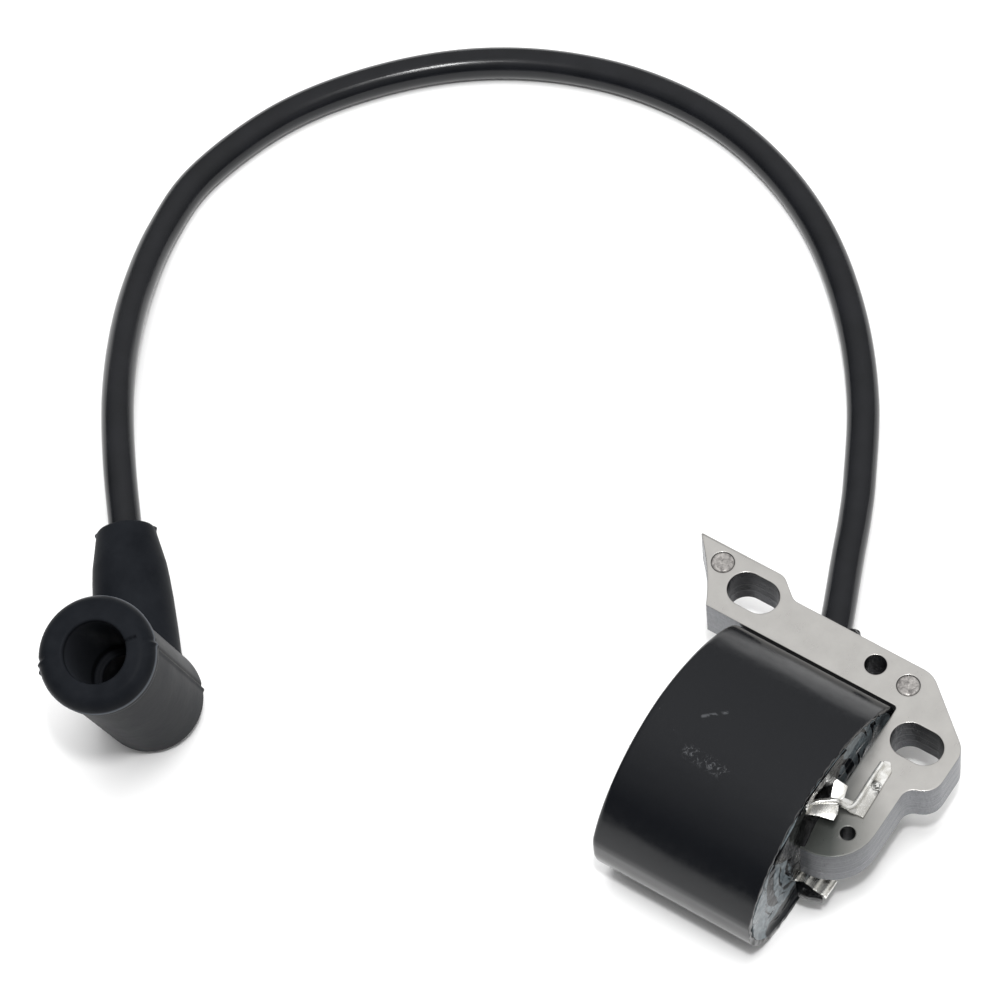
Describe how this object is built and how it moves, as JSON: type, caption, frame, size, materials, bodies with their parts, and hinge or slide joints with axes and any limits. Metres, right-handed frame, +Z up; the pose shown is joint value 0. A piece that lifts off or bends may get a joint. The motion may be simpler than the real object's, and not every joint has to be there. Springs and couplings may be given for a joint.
{
  "type": "ignition coil",
  "caption": "Ignition coil of a small engine: slotted U core, black potted housing, and a high-tension lead that ends in a right-angle spark plug boot.",
  "frame": {"origin": "centre of the front mounting slot, on the core's seating face (its underside)", "axes": "+X towards the side the high-tension lead leaves by, +Y towards the pole faces and flywheel, +Z up, away from the seating face"},
  "size_m": [0.2145, 0.2244, 0.0575],
  "materials": {
    "core_steel": "satin, laminated edges",
    "rivet_steel": "satin, peened",
    "housing_plastic": "gloss black, light scuffs",
    "resin": "glassy grey, cast",
    "sealant": "wet black",
    "bobbin_plastic": "moulded",
    "copper": "enamelled copper wire",
    "tape": "polyester tape",
    "board": "solder mask",
    "chip_plastic": "moulded",
    "resistor": "lacquered",
    "capacitor": "lacquered",
    "tinned_metal": "tinned, bright",
    "pin_brass": "turned",
    "lead_jacket": "satin extruded",
    "boot_rubber": "moulded, satin",
    "spring_steel": "drawn wire"
  },
  "bodies": {
    "root": {"core_stack": "core_steel", "core_rivets": "rivet_steel", "housing_shell": "housing_plastic", "potting_resin": "resin", "leg_seal": "sealant", "primary_bobbin": "bobbin_plastic", "primary_winding": "copper", "winding_tape": "tape", "secondary_bobbin": "bobbin_plastic", "secondary_winding": "copper", "circuit_board": "board", "power_transistor": "chip_plastic", "control_thyristor": "chip_plastic", "board_resistors": "resistor", "board_capacitor": "capacitor", "board_wires": "copper", "ground_strap": "tinned_metal", "strap_weld": "tinned_metal", "stop_terminal": "tinned_metal", "stop_terminal_block": "sealant", "ht_contact_pin": "pin_brass", "ht_link_wire": "copper", "tower_seal": "sealant", "lead_insulation": "lead_jacket", "lead_conductor": "copper", "boot_shell": "boot_rubber", "boot_spring": "spring_steel"}
  },
  "joints": []
}
